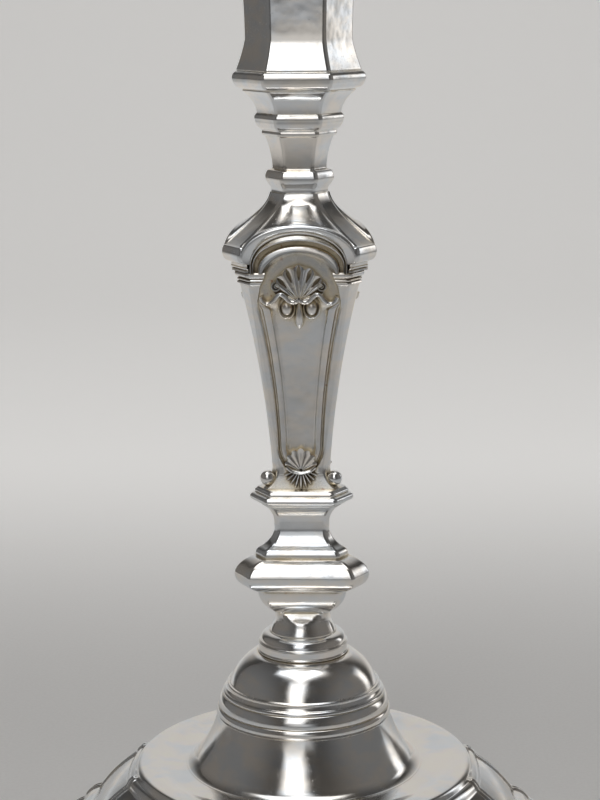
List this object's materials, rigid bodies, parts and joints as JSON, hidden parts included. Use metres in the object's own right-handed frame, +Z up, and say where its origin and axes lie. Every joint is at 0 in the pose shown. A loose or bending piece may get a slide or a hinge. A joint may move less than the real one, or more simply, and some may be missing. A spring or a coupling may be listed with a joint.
{
  "type": "candlestick",
  "caption": "Silver candlestick with a three-sided panelled baluster, knop and bell on a moulded twelve-sided foot, six-sided socket and a lift-out drip pan that takes a candle",
  "frame": {"origin": "centre of the resting face of the foot", "axes": "+Z up along the stem; the front panel looks towards -Y"},
  "size_m": [0.145, 0.145, 0.2504],
  "materials": {
    "silver": "polished, softly worn, tarnished in the recesses",
    "iron": "plain"
  },
  "bodies": {
    "stand": {"base_foot": "silver", "bell": "silver", "collar": "silver", "knop": "silver", "plinth": "silver", "baluster": "silver", "upper_shells": "silver", "lower_shells": "silver", "corner_balls": "silver", "neck": "silver", "socket": "silver", "tie_rod": "iron", "rod_washer": "iron", "rod_nut": "iron"},
    "bobeche": {"bobeche": "silver"}
  },
  "joints": [
    {"name": "bobeche_lift", "type": "slide", "parent": "stand", "child": "bobeche", "axis": [0, 0, 1], "range_m": [0, 0.05]}
  ]
}
